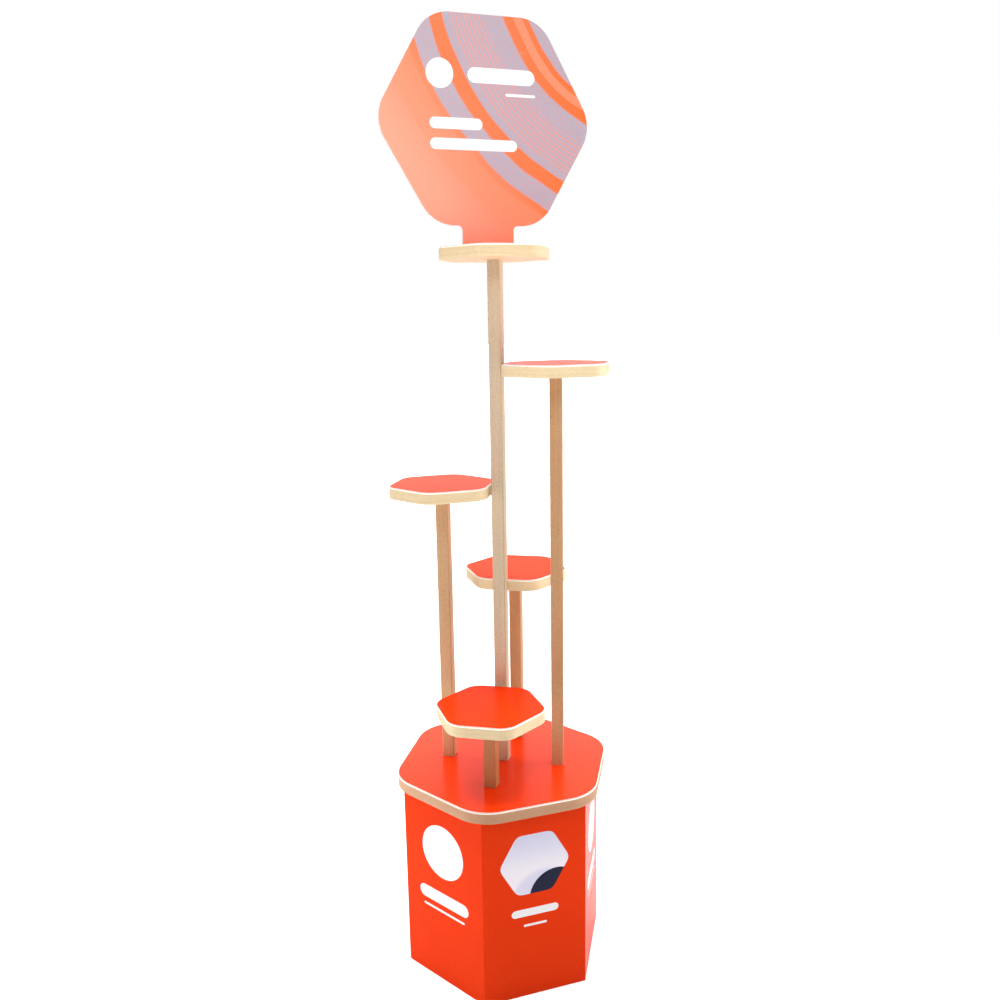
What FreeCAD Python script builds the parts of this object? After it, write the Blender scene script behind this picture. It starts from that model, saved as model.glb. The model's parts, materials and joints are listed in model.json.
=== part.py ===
"""A floor display stand: a hexagonal base column under a hexagonal top board, five square posts of
different lengths, each with a small hexagonal shelf, and a hexagonal header card on the highest one.

Millimetres, +Z up. The origin is on the floor, at the middle of the base. -Y is the front corner of
the base. Each function builds one kind of piece and takes its sizes from the values below.
"""

import FreeCAD, Part

import math
import os
from collections import namedtuple

Vector = FreeCAD.Vector
UP = Vector(0, 0, 1)

# Base column: a folded sleeve over a floor board, an inner board and the battens between them
base_across_flats = 328.0
base_height = 351.0
sleeve_wall = 4.0
sleeve_fold_radius = 1.5
seam_width = 0.6
glue_flap_width = 35.0
floor_thickness = 12.0
batten_side = 22.0

# Boards, and the printed panels that cover their tops
board_thickness = 19.0
board_edge_chamfer = 1.2
panel_thickness = 1.5
panel_inset = 0.4
top_across_flats = 362.0
top_corner_radius = 75.0
shelf_across_flats = 174.0
shelf_corner_radius = 35.0
outer_shelf_turn = 30.0

# Posts
post_side = 22.0
post_edge_chamfer = 1.5
post_offset = 102.0
back_post_shift = 8.0
centre_post_length = 897.0
right_post_length = 706.0
left_post_length = 496.0
back_post_length = 319.0
front_post_length = 127.0

# Header card, its tab, and the slot that holds the tab in the highest shelf
header_across_flats = 329.0
header_corner_radius = 62.0
header_thickness = 5.0
header_turn = 30.0
header_setback = 34.0
header_gap = 37.0
tab_width = 90.0
tab_root_radius = 8.0
slot_depth = 12.0

# Screws, which have flats instead of a round shank because they are small and many
post_screw_diameter = 6.0
post_screw_bite = 40.0
frame_screw_diameter = 4.5
frame_screw_bite = 38.0
head_ratio = 2.0
drive_ratio = 0.6
drive_depth_ratio = 0.35
tip_ratio = 1.2
point_ratio = 0.2
screw_flats = 12

# Clearances
fit_clearance = 0.5
slot_clearance = 0.3
hole_clearance = 0.25

# Each post with its shelf: its place on the base, its length, the turn of its shelf, and the small
# turn that the post has about its own screw
Unit = namedtuple("Unit", "name x y post_length shelf_turn post_turn")
units = [
    Unit("centre", 0.0, 0.0, centre_post_length, 0.0, -4.0),
    Unit("right", post_offset, 0.0, right_post_length, 0.0, 7.0),
    Unit("left", -post_offset, 0.0, left_post_length, 0.0, -2.0),
    Unit("back", back_post_shift, post_offset, back_post_length, outer_shelf_turn, -2.0),
    Unit("front", 0.0, -post_offset, front_post_length, outer_shelf_turn, -7.0),
]
header_unit = units[0]

# Heights and widths that follow from the sizes above
sides = 6
top_face = base_height + board_thickness + panel_thickness
inner_board_base = base_height - board_thickness
inner_across_flats = base_across_flats - 2 * sleeve_wall
frame_across_flats = inner_across_flats - 2 * fit_clearance
batten_radius = frame_across_flats / 2 - batten_side / 2
batten_length = inner_board_base - floor_thickness

# Screws of one kind: each place is that of the head's flat face
Screws = namedtuple("Screws", "diameter length points_up places")


def circumradius(across_flats):
    return across_flats / 2 / math.cos(math.pi / sides)


def around(count, radius, first=0.0):
    """Points evenly spaced on a circle, from the angle `first` in degrees."""
    angles = [math.radians(first + 360.0 * k / count) for k in range(count)]
    return [Vector(radius * math.cos(a), radius * math.sin(a), 0) for a in angles]


def closed(points):
    return Part.makePolygon(points + points[:1])


def edges_along(solid, direction):
    return [e for e in solid.Edges if abs(e.tangentAt(e.FirstParameter).dot(direction)) > 0.999]


def edges_at_height(solid, z):
    box = [(e, e.BoundBox) for e in solid.Edges]
    return [e for e, b in box if abs(b.ZMin - z) < 1e-4 and abs(b.ZMax - z) < 1e-4]


def group(shapes):
    return Part.makeCompound(shapes)


def place(shape, x, y, z, turn=0.0):
    """A copy of the shape turned about Z, then moved to its place."""
    placed = shape.copy()
    placed.rotate(Vector(), UP, turn)
    placed.translate(Vector(x, y, z))
    return placed


def hexagon_prism(across_flats, thickness, corner_radius=0.0):
    """A hexagonal slab on the XY plane with one corner towards -Y and its upright edges rounded."""
    corners = around(sides, circumradius(across_flats), -90.0)
    slab = Part.Face(closed(corners)).extrude(UP * thickness)
    if corner_radius:
        slab = slab.makeFillet(corner_radius, edges_along(slab, UP))
    return slab


def square_bar(side, length, edge_chamfer=0.0):
    """A square bar standing on the XY plane, centred on the Z axis."""
    bar = Part.makeBox(side, side, length, Vector(-side / 2, -side / 2, 0))
    if edge_chamfer:
        bar = bar.makeChamfer(edge_chamfer, edges_along(bar, UP))
    return bar


def faceted(rings):
    """A solid with flats all round, through rings of (radius, height)."""
    loops = [[p + UP * z for p in around(screw_flats, radius)] for radius, z in rings]
    outlines = [loops[0], loops[-1]]
    for upper, lower in zip(loops, loops[1:]):
        for k in range(screw_flats):
            outlines.append([upper[k - 1], upper[k], lower[k], lower[k - 1]])
    return Part.makeSolid(Part.makeShell([Part.Face(closed(points)) for points in outlines]))


def screw(diameter, length):
    """A countersunk screw that points down, with its head's flat face at the origin."""
    shank = diameter / 2
    head = shank * head_ratio
    tip = diameter * tip_ratio
    rings = [
        (head, 0),
        (shank, shank - head),
        (shank, tip - length),
        (shank * point_ratio, -length),
    ]
    drive_depth = diameter * drive_depth_ratio
    drive = hexagon_prism(diameter * drive_ratio, drive_depth)
    return faceted(rings).cut(place(drive, 0, 0, -drive_depth))


def screw_hole(diameter, length):
    """What a screw takes out of the wood: its own form, larger all round by the clearance."""
    shank = diameter / 2 + hole_clearance
    head = diameter / 2 * head_ratio + hole_clearance
    return faceted([(head, 0), (shank, shank - head), (shank, -length - hole_clearance)])


def at_places(make, screws):
    """What `make` gives, a screw or its hole, at the place of each of these screws."""
    shape = make(screws.diameter, screws.length)
    if screws.points_up:
        shape.rotate(Vector(), Vector(1, 0, 0), 180)
    return [place(shape, *spot) for spot in screws.places]


def drilled(solid, *kinds):
    """The solid with the holes of these kinds of screws taken out of it."""
    return solid.cut(group([hole for screws in kinds for hole in at_places(screw_hole, screws)]))


def deck_height(unit):
    """Height of the printed face of a unit's shelf above the floor."""
    return top_face + unit.post_length + board_thickness + panel_thickness


def screw_kinds():
    """Every kind of screw in the stand, by the name of its node."""
    batten_spots = around(sides, batten_radius)
    return {
        "post_screws": Screws(
            post_screw_diameter,
            2 * board_thickness + panel_thickness + post_screw_bite,
            True,
            [(unit.x, unit.y, inner_board_base) for unit in units],
        ),
        "shelf_screws": Screws(
            post_screw_diameter,
            board_thickness + post_screw_bite,
            False,
            [(unit.x, unit.y, deck_height(unit) - panel_thickness) for unit in units],
        ),
        "floor_screws": Screws(
            frame_screw_diameter,
            floor_thickness + frame_screw_bite,
            True,
            [(p.x, p.y, 0.0) for p in batten_spots],
        ),
        "inner_board_screws": Screws(
            frame_screw_diameter,
            board_thickness + frame_screw_bite,
            False,
            [(p.x, p.y, base_height) for p in batten_spots],
        ),
    }


def glue_flap(thickness, width):
    """A plate on the inner wall of the sleeve's first panel, from the back corner."""
    plate = Part.makeBox(width, thickness, base_height)
    corner = circumradius(inner_across_flats) - thickness / math.cos(math.pi / sides)
    return place(plate, 0, corner, 0, -180.0 / sides)


def base_sleeve():
    """One sheet folded six times round the base; its flap is glued inside the first panel."""
    outer = hexagon_prism(base_across_flats, base_height, sleeve_fold_radius)
    inside = hexagon_prism(inner_across_flats, base_height)
    reach = sleeve_wall * 2
    slit = Part.makeBox(seam_width, reach, base_height, Vector(sleeve_wall, -reach / 2, 0))
    corner = circumradius(base_across_flats) - sleeve_wall / 2
    slit = place(slit, 0, corner, 0, -180.0 / sides)
    flap = glue_flap(sleeve_wall, glue_flap_width).common(inside)
    return outer.cut(inside).cut(slit).fuse(flap).removeSplitter()


def inner_board(thickness, z):
    """A hexagonal board inside the sleeve, notched for the glue flap."""
    board = place(hexagon_prism(frame_across_flats, thickness), 0, 0, z)
    room = glue_flap(sleeve_wall + 2 * fit_clearance, glue_flap_width + fit_clearance)
    return board.cut(group([room, place(room, -fit_clearance, fit_clearance, 0)]))


def base_batten(index, spot):
    """An upright between the two inner boards, flat against one panel of the sleeve."""
    bar = square_bar(batten_side, batten_length)
    return place(bar, spot.x, spot.y, floor_thickness, 360.0 * index / sides)


def chamfered_board(across_flats, corner_radius):
    """A hexagonal board with rounded corners and a chamfer round its top edge."""
    board = hexagon_prism(across_flats, board_thickness, corner_radius)
    return board.makeChamfer(board_edge_chamfer, edges_at_height(board, board_thickness))


def printed_panel(across_flats, corner_radius):
    """The thin printed panel that covers a board inside its chamfer."""
    inset = board_edge_chamfer + panel_inset
    return hexagon_prism(across_flats - 2 * inset, panel_thickness, corner_radius - inset)


def post(unit):
    """A square post that stands on the printed top of the base."""
    bar = square_bar(post_side, unit.post_length, post_edge_chamfer)
    return place(bar, unit.x, unit.y, top_face, unit.post_turn)


def shelf_board(unit):
    board = chamfered_board(shelf_across_flats, shelf_corner_radius)
    return place(board, unit.x, unit.y, top_face + unit.post_length, unit.shelf_turn)


def shelf_panel(unit):
    panel = printed_panel(shelf_across_flats, shelf_corner_radius)
    z = deck_height(unit) - panel_thickness
    return place(panel, unit.x, unit.y, z, unit.shelf_turn)


def on_header_shelf(shape, height):
    """The shape turned as the header is, behind the middle of its shelf, at a height above it."""
    a = math.radians(header_turn)
    x = header_unit.x - header_setback * math.sin(a)
    y = header_unit.y + header_setback * math.cos(a)
    return place(shape, x, y, deck_height(header_unit) + height, header_turn)


def header_slot():
    """A routed slot with round ends, through the shelf's panel and into its board."""
    width = header_thickness + 2 * slot_clearance
    length = tab_width + 2 * slot_clearance
    depth = panel_thickness + slot_depth
    slot = Part.makeBox(length, width, depth, Vector(-length / 2, -width / 2, 0))
    ends = [Part.makeCylinder(width / 2, depth, Vector(x, 0, 0)) for x in (-length / 2, length / 2)]
    return on_header_shelf(slot.multiFuse(ends).removeSplitter(), -depth)


def header_card():
    """A rounded hexagon with level top and bottom edges, and a tab that fills the slot."""
    across = Vector(0, header_thickness, 0)
    corners = around(sides, circumradius(header_across_flats))
    card = Part.Face(closed([Vector(p.x, 0, p.y) for p in corners])).extrude(across)
    card = card.makeFillet(header_corner_radius, edges_along(card, Vector(0, 1, 0)))
    lower_edge = -header_across_flats / 2
    tab_length = header_gap + panel_thickness + slot_depth - slot_clearance
    tab_corner = Vector(-tab_width / 2, 0, lower_edge - tab_length)
    tab = Part.makeBox(tab_width, header_thickness, tab_length + tab_root_radius, tab_corner)
    card = card.fuse(tab).removeSplitter()
    roots = [
        e
        for e in edges_along(card, Vector(0, 1, 0))
        if abs(e.BoundBox.ZMin - lower_edge) < 1e-4
        and abs(abs(e.BoundBox.XMin) - tab_width / 2) < 1e-4
    ]
    card = card.makeFillet(tab_root_radius, roots)
    card.translate(across * -0.5)
    return on_header_shelf(card, header_gap + header_across_flats / 2)


def build():
    """Every piece by its node name."""
    screws = screw_kinds()
    nodes = {name: group(at_places(screw, kind)) for name, kind in screws.items()}
    post_screws, shelf_screws, floor_screws, inner_board_screws = screws.values()

    nodes["base_sleeve"] = base_sleeve()
    nodes["base_floor_board"] = drilled(inner_board(floor_thickness, 0.0), floor_screws)
    nodes["base_inner_board"] = drilled(
        inner_board(board_thickness, inner_board_base), post_screws, inner_board_screws
    )
    for index, spot in enumerate(around(sides, batten_radius)):
        batten = drilled(base_batten(index, spot), floor_screws, inner_board_screws)
        nodes[f"base_batten_{index + 1}"] = batten

    top_board = place(chamfered_board(top_across_flats, top_corner_radius), 0, 0, base_height)
    top_panel = printed_panel(top_across_flats, top_corner_radius)
    top_panel = place(top_panel, 0, 0, base_height + board_thickness)
    nodes["base_top_board"] = drilled(top_board, post_screws)
    nodes["base_top_panel"] = drilled(top_panel, post_screws)

    for unit in units:
        nodes[f"post_{unit.name}"] = drilled(post(unit), post_screws, shelf_screws)
        nodes[f"shelf_board_{unit.name}"] = drilled(shelf_board(unit), shelf_screws)
        nodes[f"shelf_panel_{unit.name}"] = shelf_panel(unit)

    for piece in ("shelf_board", "shelf_panel"):
        name = f"{piece}_{header_unit.name}"
        nodes[name] = nodes[name].cut(header_slot())
    nodes["header_card"] = header_card()
    return nodes


def main():
    os.makedirs("parts", exist_ok=True)
    for name, shape in build().items():
        shape.exportStep(f"parts/{name}.step")
        print(f"{name}: {len(shape.Solids)} solid, {shape.Volume / 1000:.1f} cm3, {shape.isValid()}")


main()
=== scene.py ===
"""Finishes a hexagonal floor display stand: a printed card column and header, boards and posts of pale
wood, and the frame and screws inside the column. It also sets the studio that the stand is seen in.

Metres, +Z up, origin on the floor at the middle of the base, -Y towards the column's front corner.
"""

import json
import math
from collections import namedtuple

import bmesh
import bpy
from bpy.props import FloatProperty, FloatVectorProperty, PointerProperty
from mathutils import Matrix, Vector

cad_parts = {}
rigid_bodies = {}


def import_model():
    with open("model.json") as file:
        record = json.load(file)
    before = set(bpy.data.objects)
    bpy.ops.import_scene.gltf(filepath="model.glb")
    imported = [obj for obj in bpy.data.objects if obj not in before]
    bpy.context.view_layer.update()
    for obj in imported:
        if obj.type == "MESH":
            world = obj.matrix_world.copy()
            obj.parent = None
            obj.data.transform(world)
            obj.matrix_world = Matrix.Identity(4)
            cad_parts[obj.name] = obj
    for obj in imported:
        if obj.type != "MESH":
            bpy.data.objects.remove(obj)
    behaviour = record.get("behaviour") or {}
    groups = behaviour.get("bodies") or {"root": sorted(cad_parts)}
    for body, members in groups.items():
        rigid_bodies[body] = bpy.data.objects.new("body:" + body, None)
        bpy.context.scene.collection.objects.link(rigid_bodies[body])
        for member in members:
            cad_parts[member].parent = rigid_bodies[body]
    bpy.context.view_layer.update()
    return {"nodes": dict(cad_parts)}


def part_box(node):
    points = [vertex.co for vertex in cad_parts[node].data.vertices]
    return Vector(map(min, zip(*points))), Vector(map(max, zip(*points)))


bl_info = {
    "name": "Hexagonal Display Stand",
    "version": (1, 0, 0),
    "blender": (4, 5, 0),
    "location": "View3D > Sidebar > Display Stand",
    "description": "Finishes a floor display stand in printed card and wood, and sets its studio",
    "category": "Object",
}

for leftover in list(bpy.data.objects):
    bpy.data.objects.remove(leftover)

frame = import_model()

SIDES = 6
UNIT_NAMES = ("centre", "right", "left", "back", "front")

# Shapes in the print. A middle is given across and up: on the header and the patch from their own
# middles, and on the column from the foot of the face.
Disc = namedtuple("Disc", "middle radius")
Bar = namedtuple("Bar", "middle half_length radius")
Band = namedtuple("Band", "radius half_width share ink")

# Blank marks on the header
HEADER_DISC = Disc((-0.078, 0.072), 0.023)
HEADER_BARS = (
    Bar((0.027, 0.072), 0.046, 0.012),
    Bar((0.060, 0.044), 0.024, 0.0022),
    Bar((-0.052, -0.004), 0.036, 0.009),
    Bar((-0.022, -0.036), 0.066, 0.009),
)

# Bands on the header, which sweep round a point past its upper right side and sway a little
SWEEP_MIDDLE = (0.30, 0.26)
SWEEP_SWAY = 0.012
BAND_SOFTNESS = 0.0008
BAND_STIPPLE = 0.45
HEADER_BANDS = (
    Band(0.475, 0.022, 0.6, "streak"),
    Band(0.425, 0.016, 1.0, "band"),
    Band(0.335, 0.050, 1.0, "band"),
    Band(0.225, 0.020, 1.0, "band"),
    Band(0.262, 0.007, 1.0, "streak"),
)
HATCHED_BAND = Band(0.345, 0.028, 0.6, "streak")
HATCH_PITCH = 0.0075

# The header's orange deepens from left to right, and pales from the upper right to the lower left
DEEP_REACH = (0.02, 0.19)
PALE_REACH = (-0.02, 0.2)
PALE_SLOPE = -0.8

# Depth in the header card, from its middle, past which a point lies on its printed face
HEADER_FACE_DEPTH = -0.0023

# The picture on the patch: the heights between which its sky shades, its haze and its hill
SKY_REACH = (-0.03, 0.06)
HAZE = Disc((0.018, -0.075), 0.062)
HAZE_SOFTNESS = 0.006
HAZE_SHARE = 0.8
HILL = Disc((0.040, -0.066), 0.050)

# Wear along the column's folds and foot, and how far under its outer face a point still is on it
FOLD_WEAR_REACH = 0.0012
FOLD_WEAR_SOFTNESS = 0.0003
FOLD_WEAR_SHARE = 0.12
FACE_TOLERANCE = 0.0008

# The upward part of a surface's direction: an upright face is below STEEP and a top face above it, a
# level face is above LEVEL, and a board's chamfer lies between the two values of BOARD_CHAMFER
STEEP = 0.5
LEVEL = 0.9
BOARD_CHAMFER = (0.3, 0.95)
# How far a board's chamfer is brought to the painted highlight
BOARD_HIGHLIGHT_SHARE = 0.8

# The two level parts of a post's direction, multiplied, are above this only on its chamfers
POST_CHAMFER = 0.3
# How much painted shade darkens a post's chamfers
POST_CHAMFER_SHARE = 0.3

# Grain round a board's edge: how much of Y goes along it, and how little it changes with depth
EDGE_SKEW = 0.7
EDGE_DEPTH = 0.02

# Depth of the fine relief in each surface
PRINT_RELIEF = 0.00003
BOARD_RELIEF = 0.00005
POST_RELIEF = 0.00006
RAW_RELIEF = 0.00012
PLATING_RELIEF = 0.00002

# Fixed tones, and shades that multiply the colour that they darken; the chamfer tones are a painted
# highlight on a board and painted shade on a post
INK_SHADE = (0.90, 0.84, 0.84, 1)
SCUFF_TONE = (0.95, 0.72, 0.62, 1)
DUST_TONE = (0.92, 0.88, 0.84, 1)
CARD_SHADE = (0.82, 0.76, 0.68, 1)
# Painted highlight on a board's chamfer
CHAMFER_HIGHLIGHT_TONE = (0.95, 0.93, 0.88, 1)
# Painted shade on a post's chamfers
CHAMFER_PAINTED_SHADE = (0.78, 0.68, 0.58, 1)
ZINC_SHADE = (0.72, 0.70, 0.62, 1)

# Roughness of bare card, and of the clear coat that shows at a flat angle
CARD_ROUGHNESS = 0.9
LINER_ROUGHNESS = 0.85
GLARE_ROUGHNESS = 0.18

# The studio. A lamp's power is the setting that has its name.
Lamp = namedtuple("Lamp", "name place target size")
LAMPS = (
    Lamp("left", (-1.9, -1.5, 0.8), (0, 0, 0.4), 1.2),
    Lamp("near_left", (-0.6, -0.3, 0.3), (-0.1, -0.15, 0.2), 0.3),
    Lamp("right", (2.0, 0.5, 0.8), (0, 0, 0.6), 1.2),
    Lamp("high", (0.2, -1.1, 1.75), (0, 0, 1.15), 0.6),
)
SKY_TOWARDS = (-0.05, 0.1, 0.99)
SKY_SPREAD = math.radians(50)
ROOM_REACH = (-0.3, 0.6)
FLOOR_RADIUS = 40.0
CLIP_NEAR, CLIP_FAR = 0.02, 200.0

# Places of a Mix node's sockets: its two inputs and its result
MIX_COLOURS = (6, 7, 2)
MIX_VECTORS = (4, 5, 1)


def shown(red, green, blue):
    """A colour as a screen shows it, 0 to 255, in scene-linear values."""
    parts = [value / 255 for value in (red, green, blue)]
    return tuple(((p + 0.055) / 1.055) ** 2.4 if p > 0.04045 else p / 12.92 for p in parts)


def opaque(colour):
    return (*colour, 1.0)


def grey(level):
    return (level, level, level, 1.0)


def colour_setting(name, description, default):
    return FloatVectorProperty(
        name=name, description=description, subtype="COLOR", min=0.0, max=1.0, default=default
    )


def length_setting(name, description, default):
    return FloatProperty(name=name, description=description, unit="LENGTH", min=0.0, default=default)


def share_setting(name, description, default):
    return FloatProperty(
        name=name, description=description, subtype="FACTOR", min=0.0, max=1.0, default=default
    )


def angle_setting(name, description, degrees):
    return FloatProperty(
        name=name, description=description, subtype="ANGLE", default=math.radians(degrees)
    )


def power_setting(name, description, default):
    return FloatProperty(name=name, description=description, unit="POWER", min=0.0, default=default)


def node_box(name):
    """Lowest corner, highest corner and middle of a CAD node."""
    low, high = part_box(name)
    return low, high, (low + high) / 2


class STAND_PG_inks(bpy.types.PropertyGroup):
    """Colours of everything that is printed."""

    column: colour_setting("Column", "Orange of the folded sleeve", shown(244, 62, 14))
    panel: colour_setting("Panels", "Orange of the panels on the boards", shown(248, 60, 8))
    header: colour_setting("Header", "Orange of the header card", shown(255, 130, 84))
    header_deep: colour_setting("Header deep", "Stronger orange at one side", shown(255, 118, 62))
    header_pale: colour_setting("Header pale", "Paler orange at the other side", shown(255, 166, 139))
    band: colour_setting("Bands", "Mauve-grey of the header's bands", shown(176, 176, 193))
    streak: colour_setting("Streaks", "Pink of the header's streaks", shown(255, 150, 116))
    white: colour_setting("White", "White of the blank marks", shown(250, 250, 250))
    patch_pale: colour_setting("Patch pale", "Pale part of the patch", shown(255, 248, 255))
    patch_shade: colour_setting("Patch shade", "Shaded part of the patch", shown(222, 222, 245))
    patch_dark: colour_setting("Patch dark", "Dark hill on the patch", shown(42, 46, 66))
    card: colour_setting("Card core", "Cut edges of the card", shown(214, 196, 172))
    liner: colour_setting("Liner", "Unprinted white side of the card", shown(240, 238, 232))


class STAND_PG_marks(bpy.types.PropertyGroup):
    """Sizes and places of the blank marks on the column and the header."""

    disc_radius: length_setting("Disc radius", "Radius of the column's white disc", 0.050)
    disc_height: length_setting("Disc height", "Middle of the disc above the floor", 0.255)
    bar_half_length: length_setting("Bar half length", "Half the white bar's length", 0.048)
    bar_radius: length_setting("Bar radius", "Half the white bar's width", 0.012)
    bar_height: length_setting("Bar height", "Middle of the bar above the floor", 0.163)
    line_radius: length_setting("Line radius", "Half the thin line's width", 0.0022)
    line_height: length_setting("Line height", "Middle of the thin line above the floor", 0.138)
    short_bar: share_setting("Short bar", "Length of the patch's bar next to the white bar's", 0.75)
    thin_bar: share_setting("Thin bar", "Width of the patch's bar next to the white bar's", 0.6)
    short_line: share_setting("Short line", "Length of the patch's line next to that bar's", 0.4)
    patch_apothem: length_setting("Patch size", "Middle of the patch to its flats", 0.056)
    patch_rounding: length_setting("Patch rounding", "Softening of the patch's corners", 0.014)
    patch_height: length_setting("Patch height", "Middle of the patch above the floor", 0.254)
    header_drop: length_setting("Header drop", "Header's top edge to its middle", 0.1645)
    header_turn: angle_setting("Header turn", "Turn of the header about the upright axis", 30)


class STAND_PG_woods(bpy.types.PropertyGroup):
    """Colours of the boards, the posts, the frame and the screws."""

    shelf_pale: colour_setting("Shelf pale", "Pale grain of the shelves", shown(247, 224, 180))
    shelf_dark: colour_setting("Shelf dark", "Dark grain of the shelves", shown(227, 200, 156))
    # The top board's darker, pinker tone than the shelves' is partly its wood and partly painted shade
    # and painted orange bounce light
    base_pale: colour_setting("Base pale", "Pale grain of the top board", shown(208, 162, 125))
    base_dark: colour_setting("Base dark", "Dark grain of the top board", shown(190, 139, 102))
    # The five post tones are partly the wood and partly painted light and shade; the front post's
    # darker orange is painted shade and painted orange bounce light
    post_centre: colour_setting("Centre post", "Wood of the longest post", shown(219, 199, 170))
    post_right: colour_setting("Right post", "Wood of the right post", shown(212, 164, 119))
    post_left: colour_setting("Left post", "Wood of the left post", shown(219, 176, 132))
    post_back: colour_setting("Back post", "Wood of the back post", shown(216, 166, 120))
    post_front: colour_setting("Front post", "Wood of the shortest post", shown(194, 126, 76))
    grain_shade: colour_setting("Grain shade", "How much the posts' grain darkens", (0.80, 0.75, 0.68))
    fleck: colour_setting("Fleck", "Short dark flecks in the grain", shown(128, 84, 50))
    frame_pale: colour_setting("Frame pale", "Pale grain of the hidden frame", shown(226, 200, 158))
    frame_dark: colour_setting("Frame dark", "Dark grain of the hidden frame", shown(186, 150, 104))
    zinc: colour_setting("Zinc", "Plating of the screws", shown(190, 188, 180))


class STAND_PG_studio(bpy.types.PropertyGroup):
    """The camera, the lights, the floor and the room."""

    camera_place: FloatVectorProperty(
        name="Camera",
        description="Place of the camera",
        subtype="TRANSLATION",
        unit="LENGTH",
        default=(0.3298, -1.5557, 1.1757),
    )
    camera_yaw: angle_setting("Yaw", "How far left of +Y the camera looks", 11.9)
    camera_pitch: angle_setting("Pitch", "How far down the camera looks", 11.24)
    camera_roll: angle_setting("Roll", "Turn of the camera about its line of sight", -0.98)
    sensor: FloatProperty(name="Sensor", description="Sensor width in millimetres", default=36.0)
    focal_share: share_setting("Focal share", "Focal length as a share of the sensor", 0.9242)
    left_power: power_setting("Left", "Power of the left lamp", 6.0)
    near_left_power: power_setting("Near left", "Power of the small lamp beside the column", 1.35)
    right_power: power_setting("Right", "Power of the right lamp", 20.0)
    high_power: power_setting("High", "Power of the high lamp", 7.0)
    sky_power: FloatProperty(name="Sky", description="Strength of the light overhead", default=4.3)
    room_front: share_setting("Room front", "Light from the room in front of the stand", 0.15)
    room_back: share_setting("Room back", "Light from the backdrop behind the stand", 1.0)
    floor_lit: share_setting("Floor lit", "Grey of the floor for the light that falls on it", 0.54)
    floor_seen: share_setting("Floor seen", "Grey of the floor for the camera", 0.99)
    floor_glow: share_setting("Floor glow", "Glow that brings the floor to white", 0.15)


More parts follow.
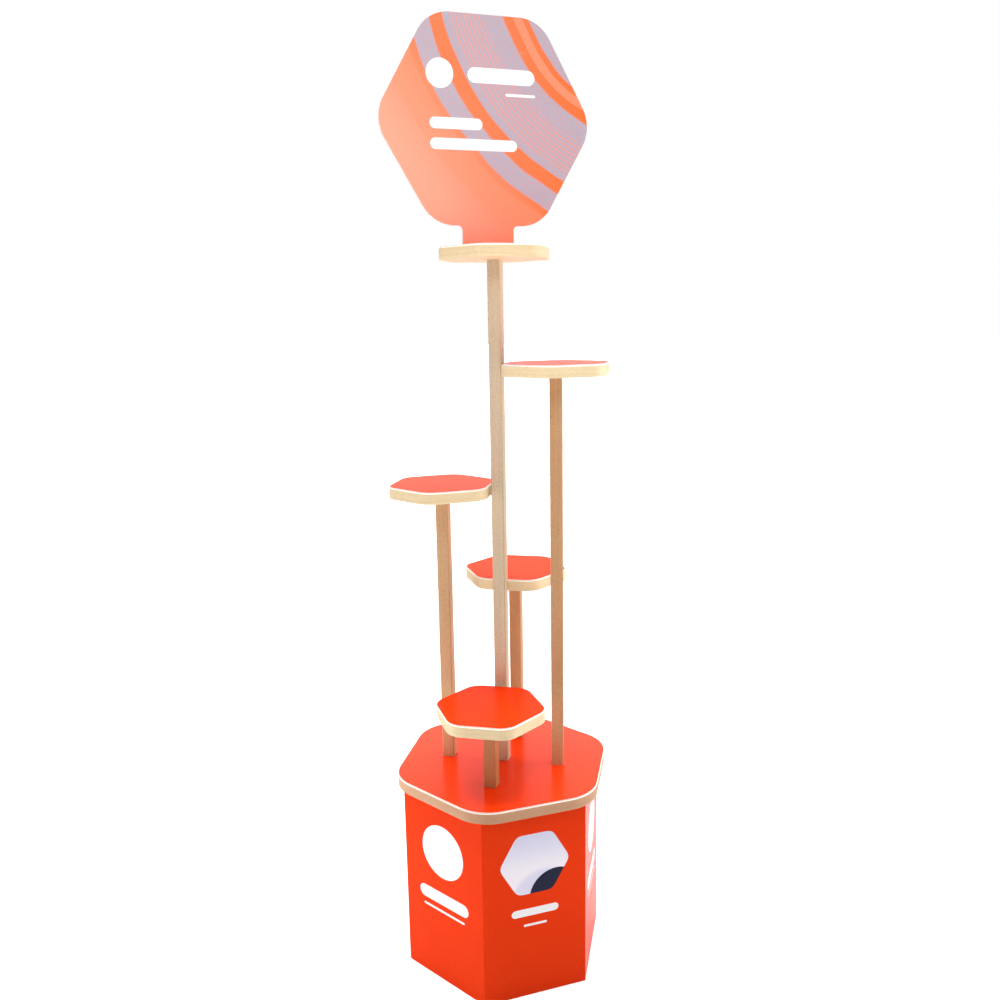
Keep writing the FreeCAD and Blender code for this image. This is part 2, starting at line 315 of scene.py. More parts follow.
class Wiring:
    """Adds nodes to a tree. A value that a method takes is a number, a colour or another socket."""

    def __init__(self, tree):
        self.tree = tree

    def node(self, kind, **settings):
        made = self.tree.nodes.new(kind)
        for name, value in settings.items():
            setattr(made, name, value)
        return made

    def feed(self, socket, value):
        if isinstance(value, bpy.types.NodeSocket):
            self.tree.links.new(value, socket)
        else:
            socket.default_value = value

    def calc(self, operation, *values):
        made = self.node("ShaderNodeMath", operation=operation)
        for socket, value in zip(made.inputs, values):
            self.feed(socket, value)
        return made.outputs[0]

    def chain(self, operation, *values):
        """One operation carried on through any number of values."""
        result = values[0]
        for value in values[1:]:
            result = self.calc(operation, result, value)
        return result

    def total(self, *values):
        return self.chain("ADD", *values)

    def product(self, *values):
        return self.chain("MULTIPLY", *values)

    def nearest(self, *distances):
        return self.chain("MINIMUM", *distances)

    def less(self, value, taken):
        return self.calc("SUBTRACT", value, taken)

    def length(self, across, up):
        squares = [self.product(value, value) for value in (across, up)]
        return self.calc("SQRT", self.total(*squares))

    def between(self, value, low, high):
        """0 at low, 1 at high and smooth in between."""
        made = self.node("ShaderNodeMapRange", interpolation_type="SMOOTHSTEP")
        for name, item in (("Value", value), ("From Min", low), ("From Max", high)):
            self.feed(made.inputs[name], item)
        return made.outputs["Result"]

    def inside(self, distance, softness=0.0004):
        """1 where a signed distance is negative, 0 outside."""
        return self.less(1.0, self.between(distance, -softness, softness))

    def feed_mix(self, made, factor, first, second, sockets):
        first_socket, second_socket, result_socket = sockets
        self.feed(made.inputs[0], factor)
        self.feed(made.inputs[first_socket], first)
        self.feed(made.inputs[second_socket], second)
        return made.outputs[result_socket]

    def mix(self, factor, first, second, mode="MIX"):
        """A colour between two colours."""
        made = self.node("ShaderNodeMix", data_type="RGBA", blend_type=mode, clamp_factor=True)
        return self.feed_mix(made, factor, first, second, MIX_COLOURS)

    def shade(self, colour, tint):
        """The colour multiplied by a tint."""
        return self.mix(1.0, colour, tint, "MULTIPLY")

    def choose(self, factor, first, second):
        """The first vector where the factor is 0, the second where it is 1."""
        made = self.node("ShaderNodeMix", data_type="VECTOR")
        return self.feed_mix(made, factor, first, second, MIX_VECTORS)

    def split(self, vector):
        made = self.node("ShaderNodeSeparateXYZ")
        self.feed(made.inputs[0], vector)
        return made.outputs

    def join(self, x, y, z):
        made = self.node("ShaderNodeCombineXYZ")
        for socket, value in zip(made.inputs, (x, y, z)):
            self.feed(socket, value)
        return made.outputs[0]

    def stretch(self, vector, factors):
        made = self.node("ShaderNodeVectorMath", operation="MULTIPLY")
        self.feed(made.inputs[0], vector)
        self.feed(made.inputs[1], factors)
        return made.outputs[0]

    def noise(self, vector, factors, detail=2.0, roughness=0.5, distortion=0.0):
        """Noise from 0 to 1, mostly near 0.5, with a scale along each axis in features per metre."""
        made = self.node("ShaderNodeTexNoise")
        self.feed(made.inputs["Vector"], self.stretch(vector, factors))
        self.feed(made.inputs["Scale"], 1.0)
        self.feed(made.inputs["Detail"], detail)
        self.feed(made.inputs["Roughness"], roughness)
        self.feed(made.inputs["Distortion"], distortion)
        return made.outputs["Fac"]

    def speckle(self, vector, scale, size, kept=0.2):
        """Small round specks of the given size, of which only a share is kept, at random."""
        made = self.node("ShaderNodeTexVoronoi")
        self.feed(made.inputs["Vector"], vector)
        self.feed(made.inputs["Scale"], scale)
        near = self.inside(self.less(made.outputs["Distance"], size * scale), 0.02)
        chosen = self.calc("GREATER_THAN", self.split(made.outputs["Color"])[0], 1 - kept)
        return self.product(near, chosen)

    def group(self, name, **values):
        made = self.node("ShaderNodeGroup")
        made.node_tree = bpy.data.node_groups[name]
        for socket_name, value in values.items():
            self.feed(made.inputs[socket_name.replace("_", " ").capitalize()], value)
        return made.outputs

    def place(self):
        return self.node("ShaderNodeTexCoord").outputs["Object"]

    def facing(self):
        """The surface's own direction, as three numbers."""
        return self.split(self.node("ShaderNodeNewGeometry").outputs["True Normal"])

    def seen(self):
        """1 for what the camera sees, 0 for the light that bounces."""
        return self.node("ShaderNodeLightPath").outputs["Is Camera Ray"]


def start_group(name, inputs, outputs):
    """A shader node group with named sockets. Returns its wiring, its inputs and its outputs."""
    tree = bpy.data.node_groups.new(name, "ShaderNodeTree")
    for label, kind, default in inputs:
        socket = tree.interface.new_socket(label, in_out="INPUT", socket_type=kind)
        if default is not None:
            socket.default_value = default
    for label, kind in outputs:
        tree.interface.new_socket(label, in_out="OUTPUT", socket_type=kind)
    wiring = Wiring(tree)
    given = wiring.node("NodeGroupInput").outputs
    wanted = wiring.node("NodeGroupOutput").inputs
    return wiring, given, wanted


def build_wood_group():
    """Grain that runs along X of the vector it is given, with streaks, fibres and flecks."""
    wiring, given, wanted = start_group(
        "Wood grain",
        [
            ("Vector", "NodeSocketVector", None),
            ("Pale", "NodeSocketColor", (0.8, 0.6, 0.4, 1)),
            ("Dark", "NodeSocketColor", (0.5, 0.3, 0.2, 1)),
            ("Fleck", "NodeSocketColor", (0.2, 0.1, 0.05, 1)),
            ("Streak amount", "NodeSocketFloat", 0.6),
            ("Fleck amount", "NodeSocketFloat", 0.4),
        ],
        [
            ("Colour", "NodeSocketColor"),
            ("Roughness", "NodeSocketFloat"),
            ("Height", "NodeSocketFloat"),
        ],
    )
    vector = given["Vector"]
    broad = wiring.noise(vector, (2.2, 30, 30), detail=2, distortion=0.4)
    streaks = wiring.noise(vector, (5, 230, 230), detail=4, roughness=0.62, distortion=0.3)
    fibres = wiring.noise(vector, (70, 2300, 2300), detail=3, roughness=0.6)
    mottle = wiring.noise(vector, (260, 520, 520), detail=2, roughness=0.6)
    dashes = wiring.noise(vector, (330, 1300, 1300), detail=1)
    flecks = wiring.between(dashes, 0.62, 0.72)

    tone = wiring.total(
        wiring.product(wiring.between(broad, 0.3, 0.7), 0.3),
        wiring.product(wiring.between(streaks, 0.32, 0.68), given["Streak amount"]),
        wiring.product(wiring.between(mottle, 0.35, 0.65), 0.3),
        wiring.product(wiring.between(fibres, 0.3, 0.7), 0.2),
    )
    colour = wiring.mix(tone, given["Pale"], given["Dark"])
    fleck_share = wiring.product(flecks, given["Fleck amount"])
    wiring.feed(wanted["Colour"], wiring.mix(fleck_share, colour, given["Fleck"]))
    wiring.feed(wanted["Roughness"], wiring.total(0.46, wiring.product(fibres, 0.2)))
    height = wiring.less(wiring.product(fibres, 0.6), wiring.product(flecks, 0.5))
    wiring.feed(wanted["Height"], height)


def build_print_group():
    """Satin ink on card: soft unevenness, fine fibre under the ink, faint scuffs and dust specks."""
    wiring, given, wanted = start_group(
        "Satin print",
        [
            ("Vector", "NodeSocketVector", None),
            ("Ink", "NodeSocketColor", (0.8, 0.1, 0.02, 1)),
            ("Scuff amount", "NodeSocketFloat", 0.5),
            ("Gloss", "NodeSocketFloat", 0.4),
        ],
        [
            ("Colour", "NodeSocketColor"),
            ("Roughness", "NodeSocketFloat"),
            ("Height", "NodeSocketFloat"),
        ],
    )
    vector = given["Vector"]
    cloud = wiring.noise(vector, (7, 7, 7), detail=3)
    fine = wiring.noise(vector, (1500, 1500, 1500), detail=2)
    peel = wiring.noise(vector, (240, 240, 240), detail=2)

    rubbing_and_chamfer_shade = wiring.noise(vector, (24, 520, 90), detail=3, distortion=0.6)
    where = wiring.between(wiring.noise(vector, (9, 9, 11), detail=2), 0.52, 0.68)
    scuffs = wiring.product(wiring.between(rubbing_and_chamfer_shade, 0.62, 0.74), where, given["Scuff amount"])
    specks = wiring.speckle(vector, scale=48.0, size=0.0006)
    dust = wiring.product(specks, given["Scuff amount"])

    darker = wiring.shade(given["Ink"], INK_SHADE)
    ink = wiring.mix(wiring.product(wiring.between(cloud, 0.2, 0.8), 0.6), given["Ink"], darker)
    ink = wiring.mix(wiring.product(wiring.between(fine, 0.3, 0.8), 0.10), ink, darker)
    ink = wiring.mix(wiring.product(scuffs, 0.28), ink, SCUFF_TONE)
    ink = wiring.mix(wiring.product(dust, 0.8), ink, DUST_TONE)
    wiring.feed(wanted["Colour"], ink)

    roughness = wiring.total(
        given["Gloss"], wiring.product(cloud, 0.08), wiring.product(scuffs, 0.22)
    )
    wiring.feed(wanted["Roughness"], roughness)
    height = wiring.total(peel, wiring.product(fine, 0.25), wiring.product(dust, 0.6))
    wiring.feed(wanted["Height"], height)


def build_card_group():
    """Unprinted card: soft mottle with short fibres."""
    wiring, given, wanted = start_group(
        "Bare card",
        [
            ("Vector", "NodeSocketVector", None),
            ("Tone", "NodeSocketColor", (0.6, 0.5, 0.4, 1)),
            ("Mottle", "NodeSocketFloat", 0.5),
        ],
        [("Colour", "NodeSocketColor"), ("Height", "NodeSocketFloat")],
    )
    vector = given["Vector"]
    mottle = wiring.noise(vector, (60, 60, 60), detail=4, roughness=0.6)
    fibres = wiring.noise(vector, (500, 1300, 900), detail=2, distortion=1.2)
    share = wiring.total(
        wiring.product(wiring.between(mottle, 0.3, 0.75), given["Mottle"]),
        wiring.product(wiring.between(fibres, 0.45, 0.8), 0.4),
    )
    darker = wiring.shade(given["Tone"], CARD_SHADE)
    wiring.feed(wanted["Colour"], wiring.mix(share, given["Tone"], darker))
    wiring.feed(wanted["Height"], fibres)


def build_column_group():
    """Where a point lies on the column: across its own face, up, which face, and if it is outside.

    The faces are counted round the column in sixths of a turn from +X.
    """
    wiring, given, wanted = start_group(
        "Column face",
        [("Vector", "NodeSocketVector", None), ("Apothem", "NodeSocketFloat", 0.164)],
        [
            ("Across", "NodeSocketFloat"),
            ("Up", "NodeSocketFloat"),
            ("Face", "NodeSocketFloat"),
            ("Outside", "NodeSocketFloat"),
        ],
    )
    x, y, z = wiring.split(given["Vector"])
    sixth = 2 * math.pi / SIDES
    angle = wiring.calc("ARCTAN2", y, x)
    face = wiring.calc("ROUND", wiring.calc("DIVIDE", angle, sixth))
    turn = wiring.less(angle, wiring.product(face, sixth))
    radius = wiring.length(x, y)
    wiring.feed(wanted["Across"], wiring.product(radius, wiring.calc("SINE", turn)))
    wiring.feed(wanted["Up"], z)
    wiring.feed(wanted["Face"], face)
    outward = wiring.product(radius, wiring.calc("COSINE", turn))
    past_face = wiring.less(outward, given["Apothem"])
    wiring.feed(wanted["Outside"], wiring.calc("GREATER_THAN", past_face, -FACE_TOLERANCE))


def from_middle(wiring, across, up, middle):
    """A place across and up, measured from the middle of a shape."""
    return wiring.less(across, middle[0]), wiring.less(up, middle[1])


def disc(wiring, across, up, shape):
    """Signed distance to a Disc."""
    place = from_middle(wiring, across, up, shape.middle)
    return wiring.less(wiring.length(*place), shape.radius)


def bar(wiring, across, up, shape):
    """Signed distance to a Bar, which is level and has round ends."""
    across, up = from_middle(wiring, across, up, shape.middle)
    past_end = wiring.less(wiring.calc("ABSOLUTE", across), shape.half_length)
    past_end = wiring.calc("MAXIMUM", past_end, 0.0)
    return wiring.less(wiring.length(past_end, up), shape.radius)


def rounded_hexagon(wiring, across, up, apothem, rounding):
    """Signed distance to a hexagon with level top and bottom and softened corners."""
    cosine, sine = math.cos(math.pi / SIDES), math.sin(math.pi / SIDES)
    side = wiring.product(wiring.calc("ABSOLUTE", across), cosine)
    rise = wiring.product(up, sine)
    slants = wiring.calc("SMOOTH_MAX", wiring.total(side, rise), wiring.less(side, rise), rounding)
    level = wiring.calc("ABSOLUTE", up)
    return wiring.less(wiring.calc("SMOOTH_MAX", slants, level, rounding), apothem)


def start_material(name):
    """A material with a Principled BSDF. Returns it, its wiring and the shader's inputs."""
    material = bpy.data.materials.new(name)
    material.use_nodes = True
    shader = material.node_tree.nodes["Principled BSDF"]
    return material, Wiring(material.node_tree), shader.inputs


def set_surface(wiring, inputs, colour, roughness, height, relief, **constants):
    """Links the changing inputs of a shader, and sets the ones that are the same all over."""
    wiring.feed(inputs["Base Color"], colour)
    wiring.feed(inputs["Roughness"], roughness)
    bump = wiring.node("ShaderNodeBump")
    bump.inputs["Strength"].default_value = 1.0
    bump.inputs["Distance"].default_value = relief
    wiring.feed(bump.inputs["Height"], height)
    wiring.feed(inputs["Normal"], bump.outputs["Normal"])
    for name, value in constants.items():
        inputs[name.replace("_", " ")].default_value = value


def add_glare(wiring, inputs, start, full, weight):
    """A clear coat that shows from one flat angle on, where 0 is seen head-on and 1 edge-on."""
    facing = wiring.node("ShaderNodeLayerWeight").outputs["Facing"]
    share = wiring.product(wiring.between(facing, start, full), weight)
    wiring.feed(inputs["Coat Weight"], share)
    inputs["Coat Roughness"].default_value = GLARE_ROUGHNESS


def print_over(wiring, printed, print_look, ink, bare_look, bare_roughness):
    """Colour, roughness and height of card that is printed where the mask is 1, and bare elsewhere."""
    bare = wiring.less(1.0, printed)
    colour = wiring.mix(printed, bare_look["Colour"], ink)
    roughness = wiring.total(
        wiring.product(print_look["Roughness"], printed), wiring.product(bare, bare_roughness)
    )
    height = wiring.total(
        wiring.product(print_look["Height"], printed), wiring.product(bare_look["Height"], bare)
    )
    return colour, roughness, height


def dress(names, material):
    """Gives CAD nodes a material."""
    for name in names:
        for slot in frame["nodes"][name].material_slots:
            slot.material = material


def column_material(inks, marks):
    """The folded sleeve: orange print outside, with worn folds and blank marks, and bare card edges."""
    material, wiring, inputs = start_material("printed_column")
    low, high, _ = node_box("base_sleeve")
    apothem = (high.x - low.x) / 2
    place = wiring.place()
    where = wiring.group("Column face", Vector=place, Apothem=apothem)
    across, up = where["Across"], where["Up"]

    print_look = wiring.group(
        "Satin print", Vector=place, Ink=opaque(inks.column), Scuff_amount=0.12, Gloss=0.24
    )
    on_patch_face = wiring.calc("FLOORED_MODULO", where["Face"], 2.0)
    ink = column_design(wiring, inks, marks, print_look["Colour"], across, up, on_patch_face)
    half_face = apothem * math.tan(math.pi / SIDES)
    worn = wiring.product(fold_wear(wiring, place, across, up, half_face), FOLD_WEAR_SHARE)
    ink = wiring.mix(worn, ink, opaque(inks.card))

    card = wiring.group("Bare card", Vector=place, Tone=opaque(inks.card))
    upright = wiring.calc("LESS_THAN", wiring.calc("ABSOLUTE", wiring.facing()[2]), STEEP)
    printed = wiring.product(upright, where["Outside"])
    looks = print_over(wiring, printed, print_look, ink, card, CARD_ROUGHNESS)
    add_glare(wiring, inputs, start=0.6, full=0.95, weight=0.42)
    set_surface(wiring, inputs, *looks, PRINT_RELIEF, Specular_IOR_Level=0.04)
    return material


def column_design(wiring, inks, marks, ink, across, up, on_patch_face):
    """Blank marks on every second face, and the patch with a shorter bar and line on the others."""

    def level_bar(height, half_length, radius):
        return bar(wiring, across, up, Bar((0, height), half_length, radius))

    blank = wiring.nearest(
        disc(wiring, across, up, Disc((0, marks.disc_height), marks.disc_radius)),
        level_bar(marks.bar_height, marks.bar_half_length, marks.bar_radius),
        level_bar(marks.line_height, marks.bar_half_length, marks.line_radius),
    )
    on_mark_face = wiring.less(1.0, on_patch_face)
    ink = wiring.mix(wiring.product(wiring.inside(blank), on_mark_face), ink, opaque(inks.white))

    patch_up = wiring.less(up, marks.patch_height)
    patch = rounded_hexagon(wiring, across, patch_up, marks.patch_apothem, marks.patch_rounding)
    picture = patch_picture(wiring, inks, across, patch_up)
    ink = wiring.mix(wiring.product(wiring.inside(patch), on_patch_face), ink, picture)
    bar_half_length = marks.bar_half_length * marks.short_bar
    line_half_length = marks.bar_half_length * marks.short_line
    blank = wiring.nearest(
        level_bar(marks.bar_height, bar_half_length, marks.bar_radius * marks.thin_bar),
        level_bar(marks.line_height, line_half_length, marks.line_radius),
    )
    return wiring.mix(wiring.product(wiring.inside(blank), on_patch_face), ink, opaque(inks.white))


def patch_picture(wiring, inks, across, up):
    """A plain picture for the patch: pale sky, a soft shaded haze and a dark hill."""
    pale, shade = opaque(inks.patch_pale), opaque(inks.patch_shade)
    sky = wiring.mix(wiring.between(up, *SKY_REACH), pale, shade)
    haze = wiring.inside(disc(wiring, across, up, HAZE), HAZE_SOFTNESS)
    sky = wiring.mix(wiring.product(haze, HAZE_SHARE), sky, shade)
    hill = wiring.inside(disc(wiring, across, up, HILL))
    return wiring.mix(hill, sky, opaque(inks.patch_dark))


def fold_wear(wiring, place, across, up, half_face):
    """1 in a ragged line along the folds and the foot of the column."""
    to_fold = wiring.less(half_face, wiring.calc("ABSOLUTE", across))
    ragged = wiring.noise(place, (90, 90, 140), detail=4, roughness=0.65)
    reach = wiring.product(wiring.between(ragged, 0.5, 0.8), FOLD_WEAR_REACH)
    return wiring.inside(wiring.less(wiring.nearest(to_fold, up), reach), FOLD_WEAR_SOFTNESS)


def panel_material(inks, name, specular, glare):
    """Thin printed panels: orange on top, white at the cut edge."""
    material, wiring, inputs = start_material(name)
    place = wiring.place()
    print_look = wiring.group(
        "Satin print", Vector=place, Ink=opaque(inks.panel), Scuff_amount=0.05, Gloss=0.22
    )
    liner = wiring.group("Bare card", Vector=place, Tone=opaque(inks.liner), Mottle=0.12)
    printed = wiring.calc("GREATER_THAN", wiring.facing()[2], STEEP)
    colour = wiring.mix(printed, liner["Colour"], print_look["Colour"])
    looks = colour, print_look["Roughness"], print_look["Height"]
    add_glare(wiring, inputs, start=0.46, full=0.60, weight=glare)
    set_surface(wiring, inputs, *looks, PRINT_RELIEF, Specular_IOR_Level=specular)
    return material


def header_material(inks, marks):
    """The header card: soft curved bands on orange, blank white marks, and bare edges and back."""
    material, wiring, inputs = start_material("printed_header")
    _, high, middle = node_box("header_card")
    mapping = wiring.node("ShaderNodeMapping", vector_type="TEXTURE")
    mapping.inputs["Location"].default_value = (middle.x, middle.y, high.z - marks.header_drop)
    mapping.inputs["Rotation"].default_value = (0, 0, marks.header_turn)
    wiring.feed(mapping.inputs["Vector"], wiring.place())
    place = mapping.outputs["Vector"]
    across, depth, up = wiring.split(place)

    print_look = wiring.group(
        "Satin print", Vector=place, Ink=opaque(inks.header), Scuff_amount=0.5, Gloss=0.34
    )
    ink = header_design(wiring, inks, print_look["Colour"], place, across, up)
    liner = wiring.group("Bare card", Vector=place, Tone=opaque(inks.liner), Mottle=0.12)
    printed = wiring.calc("LESS_THAN", depth, HEADER_FACE_DEPTH)
    looks = print_over(wiring, printed, print_look, ink, liner, LINER_ROUGHNESS)
    set_surface(wiring, inputs, *looks, PRINT_RELIEF, Specular_IOR_Level=0.2)
    return material


def header_design(wiring, inks, ink, place, across, up):
    """Broad curved bands over an orange that deepens to one side, and blank white marks."""
    ink = wiring.mix(wiring.between(across, *DEEP_REACH), ink, opaque(inks.header_deep))
    low_left = wiring.less(wiring.product(up, PALE_SLOPE), across)
    ink = wiring.mix(wiring.between(low_left, *PALE_REACH), ink, opaque(inks.header_pale))

    sway = wiring.less(wiring.noise(place, (9, 9, 9), detail=2), 0.5)
    sweep = wiring.length(*from_middle(wiring, across, up, SWEEP_MIDDLE))
    sweep = wiring.total(sweep, wiring.product(sway, SWEEP_SWAY))
    grains = wiring.noise(place, (420, 420, 420), detail=2, roughness=0.7)
    holes = wiring.product(wiring.between(grains, 0.46, 0.62), BAND_STIPPLE)
    solid = wiring.less(1.0, holes)

    def share_of(band):
        offset = wiring.calc("ABSOLUTE", wiring.less(sweep, band.radius))
        edge = wiring.less(offset, band.half_width)
        return wiring.product(wiring.inside(edge, BAND_SOFTNESS), solid, band.share)

    for band in HEADER_BANDS:
        ink = wiring.mix(share_of(band), ink, opaque(getattr(inks, band.ink)))
    wave = wiring.calc("SINE", wiring.product(sweep, 2 * math.pi / HATCH_PITCH))
    hatch = wiring.product(share_of(HATCHED_BAND), wiring.between(wave, 0.2, 0.9))
    ink = wiring.mix(hatch, ink, opaque(getattr(inks, HATCHED_BAND.ink)))

    blank = wiring.nearest(
        disc(wiring, across, up, HEADER_DISC),
        *(bar(wiring, across, up, shape) for shape in HEADER_BARS),
    )
    return wiring.mix(wiring.inside(blank), ink, opaque(inks.white))


def grain_across_edges(wiring):
    """Grain along X on level faces, and level grain round the edge of a board."""
    place = wiring.place()
    x, y, z = wiring.split(place)
    along = wiring.total(x, wiring.product(y, EDGE_SKEW))
    deep = wiring.product(wiring.less(x, y), EDGE_DEPTH)
    edge = wiring.join(along, z, deep)
    level = wiring.calc("GREATER_THAN", wiring.calc("ABSOLUTE", wiring.facing()[2]), LEVEL)
    return wiring.choose(level, edge, place)


def board_material(name, pale, dark, fleck):
    """Pale boards with a lacquered edge, and a near-white painted highlight on the chamfer."""
    material, wiring, inputs = start_material(name)
    grain = wiring.group(
        "Wood grain",
        Vector=grain_across_edges(wiring),
        Pale=opaque(pale),
        Dark=opaque(dark),
        Fleck=opaque(fleck),
        Streak_amount=0.45,
        Fleck_amount=0.18,
    )
    tilt = wiring.facing()[2]
    least, most = BOARD_CHAMFER
    on_chamfer = wiring.product(
        wiring.calc("GREATER_THAN", tilt, least), wiring.calc("LESS_THAN", tilt, most)
    )
    share = wiring.product(on_chamfer, BOARD_HIGHLIGHT_SHARE)
    # Painted highlight: the chamfer is brought towards near white
    colour = wiring.mix(share, grain["Colour"], CHAMFER_HIGHLIGHT_TONE)
    looks = colour, grain["Roughness"], grain["Height"]
    set_surface(wiring, inputs, *looks, BOARD_RELIEF, Coat_Weight=0.08)
    return material


def post_material(woods, name):
    """A planed post: grain along its length, and painted shade that darkens its chamfered edges a
    little.
    """
    material, wiring, inputs = start_material(f"planed_post_{name}")
    pale = getattr(woods, f"post_{name}")
    dark = [tone * shade for tone, shade in zip(pale, woods.grain_shade)]
    x, y, z = wiring.split(wiring.place())
    grain = wiring.group(
        "Wood grain",
        Vector=wiring.join(z, x, y),
        Pale=opaque(pale),
        Dark=opaque(dark),
        Fleck=opaque(woods.fleck),
        Streak_amount=0.3,
        Fleck_amount=0.6,
    )
    facing = wiring.facing()
    slant = wiring.calc("ABSOLUTE", wiring.product(facing[0], facing[1]))
    on_chamfer = wiring.calc("GREATER_THAN", slant, POST_CHAMFER)
    # Painted shade: the chamfers are darkened as if they were in shade
    rubbing_and_chamfer_shade = wiring.shade(grain["Colour"], CHAMFER_PAINTED_SHADE)
    share = wiring.product(on_chamfer, POST_CHAMFER_SHARE)
    colour = wiring.mix(share, grain["Colour"], rubbing_and_chamfer_shade)
    set_surface(wiring, inputs, colour, grain["Roughness"], grain["Height"], POST_RELIEF)
    return material


def frame_material(woods, name, upright):
    """Raw, unlacquered wood for the hidden frame."""
    material, wiring, inputs = start_material(name)
    x, y, z = wiring.split(wiring.place())
    vector = wiring.join(z, x, y) if upright else grain_across_edges(wiring)
    grain = wiring.group(
        "Wood grain",
        Vector=vector,
        Pale=opaque(woods.frame_pale),
        Dark=opaque(woods.frame_dark),
        Fleck=opaque(woods.fleck),
        Streak_amount=0.7,
        Fleck_amount=0.35,
    )
    roughness = wiring.total(grain["Roughness"], 0.25)
    set_surface(wiring, inputs, grain["Colour"], roughness, grain["Height"], RAW_RELIEF)
    return material


def screw_material(woods):
    """Zinc plating with a cloudy, slightly worn bloom."""
    material, wiring, inputs = start_material("zinc_screw")
    cloud = wiring.noise(wiring.place(), (500, 500, 500), detail=3)
    zinc = opaque(woods.zinc)
    colour = wiring.mix(wiring.between(cloud, 0.35, 0.7), zinc, wiring.shade(zinc, ZINC_SHADE))
    roughness = wiring.total(0.26, wiring.product(cloud, 0.25))
    set_surface(wiring, inputs, colour, roughness, cloud, PLATING_RELIEF, Metallic=1.0)
    return material


class STAND_OT_column(bpy.types.Operator):
    """Prints the folded sleeve of the column"""

    bl_idname = "stand.column"
    bl_label = "Column"

    def execute(self, context):
        scene = context.scene
        dress(["base_sleeve"], column_material(scene.stand_inks, scene.stand_marks))
        return {"FINISHED"}


class STAND_OT_panels(bpy.types.Operator):
    """Prints the thin panels on the top board and the shelves"""

    bl_idname = "stand.panels"
    bl_label = "Printed panels"

    def execute(self, context):
        inks = context.scene.stand_inks
        top = panel_material(inks, "printed_top", specular=0.10, glare=0.5)
        dress(["base_top_panel"], top)
        shelf = panel_material(inks, "printed_shelf", specular=0.03, glare=0.03)
        dress([f"shelf_panel_{name}" for name in UNIT_NAMES], shelf)
        return {"FINISHED"}


class STAND_OT_header(bpy.types.Operator):
    """Prints the header card"""

    bl_idname = "stand.header"
    bl_label = "Header card"

    def execute(self, context):
        scene = context.scene
        dress(["header_card"], header_material(scene.stand_inks, scene.stand_marks))
        return {"FINISHED"}


class STAND_OT_boards(bpy.types.Operator):
    """Finishes the top board and the shelf boards"""

    bl_idname = "stand.boards"
    bl_label = "Boards"

    def execute(self, context):
        woods = context.scene.stand_woods
        shelf = board_material("shelf_board", woods.shelf_pale, woods.shelf_dark, woods.fleck)
        dress([f"shelf_board_{name}" for name in UNIT_NAMES], shelf)
        # The top board's own tones hold painted shade and painted orange bounce light besides its wood
        top = board_material("base_board", woods.base_pale, woods.base_dark, woods.fleck)
        dress(["base_top_board"], top)
        return {"FINISHED"}


class STAND_OT_posts(bpy.types.Operator):
    """Finishes the five posts, each with its own tone, partly of its wood and partly painted light and
    shade
    """

    bl_idname = "stand.posts"
    bl_label = "Posts"

    def execute(self, context):
        for name in UNIT_NAMES:
            dress([f"post_{name}"], post_material(context.scene.stand_woods, name))
        return {"FINISHED"}


class STAND_OT_inner_frame(bpy.types.Operator):
    """Finishes the boards and battens inside the column"""

    bl_idname = "stand.inner_frame"
    bl_label = "Inner frame"

    def execute(self, context):
        woods = context.scene.stand_woods
        board = frame_material(woods, "raw_board", upright=False)
        dress(["base_floor_board", "base_inner_board"], board)
        batten = frame_material(woods, "raw_batten", upright=True)
        dress([f"base_batten_{index + 1}" for index in range(SIDES)], batten)
        return {"FINISHED"}


class STAND_OT_screws(bpy.types.Operator):
    """Plates the screws"""

    bl_idname = "stand.screws"
    bl_label = "Screws"

    def execute(self, context):
        names = ["post_screws", "shelf_screws", "floor_screws", "inner_board_screws"]
        dress(names, screw_material(context.scene.stand_woods))
        return {"FINISHED"}


def make_floor(studio):
    """A plain pale floor, wide enough to reach past every view."""
    mesh = bpy.data.meshes.new("studio_floor")
    shape = bmesh.new()
    bmesh.ops.create_circle(shape, cap_ends=True, radius=FLOOR_RADIUS, segments=48)
    shape.to_mesh(mesh)
    shape.free()
    floor = bpy.data.objects.new("studio_floor", mesh)
    bpy.context.scene.collection.objects.link(floor)
    material, wiring, inputs = start_material("studio_floor")
    seen = wiring.seen()
    paper = wiring.mix(seen, grey(studio.floor_lit), grey(studio.floor_seen))
    wiring.feed(inputs["Base Color"], paper)
    inputs["Roughness"].default_value = 0.8
    inputs["Specular IOR Level"].default_value = 0.1
    inputs["Emission Color"].default_value = grey(1)
    wiring.feed(inputs["Emission Strength"], wiring.product(seen, studio.floor_glow))
    mesh.materials.append(material)


def make_lamp(lamp, power):
    """A round area light that the camera doesn't see."""
    data = bpy.data.lights.new(lamp.name, "AREA")
    data.shape = "DISK"
    data.size = lamp.size
    data.energy = power
    light = bpy.data.objects.new(lamp.name, data)
    light.visible_camera = False
    light.location = lamp.place
    ahead = Vector(lamp.target) - Vector(lamp.place)
    light.rotation_euler = ahead.to_track_quat("-Z", "Y").to_euler()
    bpy.context.scene.collection.objects.link(light)


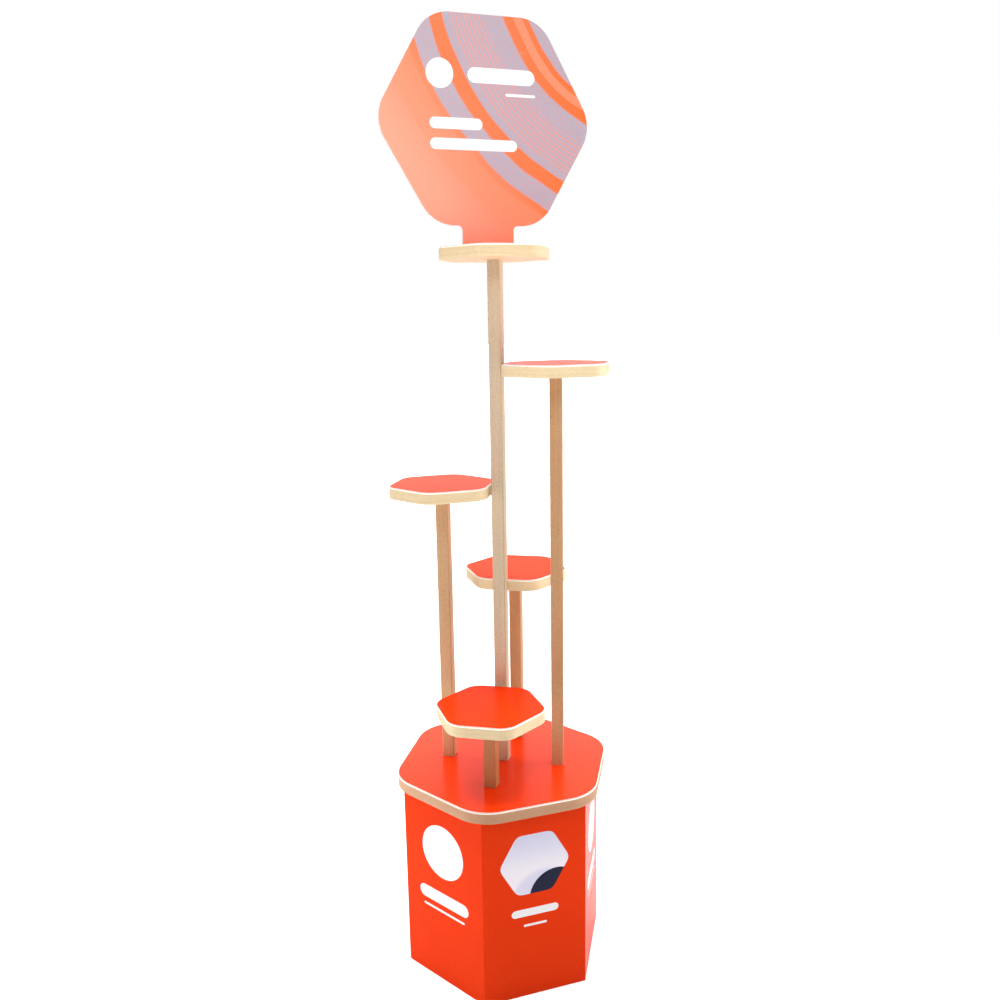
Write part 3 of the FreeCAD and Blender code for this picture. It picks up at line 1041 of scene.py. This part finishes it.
def make_camera(studio):
    """The camera at the viewing angle, from its yaw, its pitch downwards and its roll."""
    yaw, pitch, roll = studio.camera_yaw, studio.camera_pitch, studio.camera_roll
    ahead = Vector(
        (-math.sin(yaw) * math.cos(pitch), math.cos(yaw) * math.cos(pitch), -math.sin(pitch))
    )
    level = Vector((math.cos(yaw), math.sin(yaw), 0))
    top = level.cross(ahead)
    right = level * math.cos(roll) + top * math.sin(roll)
    up = top * math.cos(roll) - level * math.sin(roll)
    data = bpy.data.cameras.new("view")
    data.sensor_width = studio.sensor
    data.lens = studio.sensor * studio.focal_share
    data.clip_start, data.clip_end = CLIP_NEAR, CLIP_FAR
    camera = bpy.data.objects.new("view", data)
    turn = Matrix((right, up, -ahead)).transposed().to_4x4()
    camera.matrix_world = Matrix.Translation(studio.camera_place) @ turn
    bpy.context.scene.collection.objects.link(camera)
    bpy.context.scene.camera = camera


def make_room(studio):
    """A white backdrop for the camera. For the light, it is white behind and dimmer in front."""
    world = bpy.data.worlds.new("room")
    world.use_nodes = True
    bpy.context.scene.world = world
    wiring = Wiring(world.node_tree)
    backdrop = world.node_tree.nodes["Background"]
    backdrop.inputs["Color"].default_value = grey(1)
    direction = wiring.split(wiring.node("ShaderNodeTexCoord").outputs["Generated"])
    behind = wiring.between(direction[1], *ROOM_REACH)
    gap = studio.room_back - studio.room_front
    room = wiring.total(wiring.product(behind, gap), studio.room_front)
    wiring.feed(backdrop.inputs["Strength"], wiring.calc("MAXIMUM", wiring.seen(), room))


def make_sky(studio):
    """Broad, even light from overhead, so that the floor is white all over."""
    data = bpy.data.lights.new("sky", "SUN")
    data.angle = SKY_SPREAD
    data.energy = studio.sky_power
    light = bpy.data.objects.new("sky", data)
    light.rotation_euler = Vector(SKY_TOWARDS).to_track_quat("Z", "Y").to_euler()
    bpy.context.scene.collection.objects.link(light)


class STAND_OT_studio(bpy.types.Operator):
    """Sets the floor, the lights, the room and the camera"""

    bl_idname = "stand.studio"
    bl_label = "Studio"

    def execute(self, context):
        studio = context.scene.stand_studio
        make_floor(studio)
        make_room(studio)
        make_sky(studio)
        for lamp in LAMPS:
            make_lamp(lamp, getattr(studio, f"{lamp.name}_power"))
        make_camera(studio)
        context.scene.view_settings.view_transform = "Standard"
        return {"FINISHED"}


GROUPS = (build_wood_group, build_print_group, build_card_group, build_column_group)
SETTINGS = {
    "stand_inks": STAND_PG_inks,
    "stand_marks": STAND_PG_marks,
    "stand_woods": STAND_PG_woods,
    "stand_studio": STAND_PG_studio,
}
OPERATORS = (
    STAND_OT_column,
    STAND_OT_panels,
    STAND_OT_header,
    STAND_OT_boards,
    STAND_OT_posts,
    STAND_OT_inner_frame,
    STAND_OT_screws,
    STAND_OT_studio,
)


class STAND_PT_sidebar(bpy.types.Panel):
    """Lists the stand's settings and the steps that finish it"""

    bl_idname = "STAND_PT_sidebar"
    bl_label = "Display Stand"
    bl_space_type = "VIEW_3D"
    bl_region_type = "UI"
    bl_category = "Display Stand"

    def draw(self, context):
        for attribute in SETTINGS:
            settings = getattr(context.scene, attribute)
            column = self.layout.column(align=True)
            for name in settings.bl_rna.properties.keys():
                if name not in ("rna_type", "name"):
                    column.prop(settings, name)
        for operator in OPERATORS:
            self.layout.operator(operator.bl_idname)


def register():
    for kind in (*SETTINGS.values(), *OPERATORS, STAND_PT_sidebar):
        bpy.utils.register_class(kind)
    for attribute, kind in SETTINGS.items():
        setattr(bpy.types.Scene, attribute, PointerProperty(type=kind))


def unregister():
    for attribute in SETTINGS:
        delattr(bpy.types.Scene, attribute)
    for kind in reversed((*SETTINGS.values(), *OPERATORS, STAND_PT_sidebar)):
        bpy.utils.unregister_class(kind)


def main():
    register()
    for build_group in GROUPS:
        build_group()
    for operator in OPERATORS:
        family, name = operator.bl_idname.split(".")
        getattr(getattr(bpy.ops, family), name)()


if __name__ == "__main__":
    main()
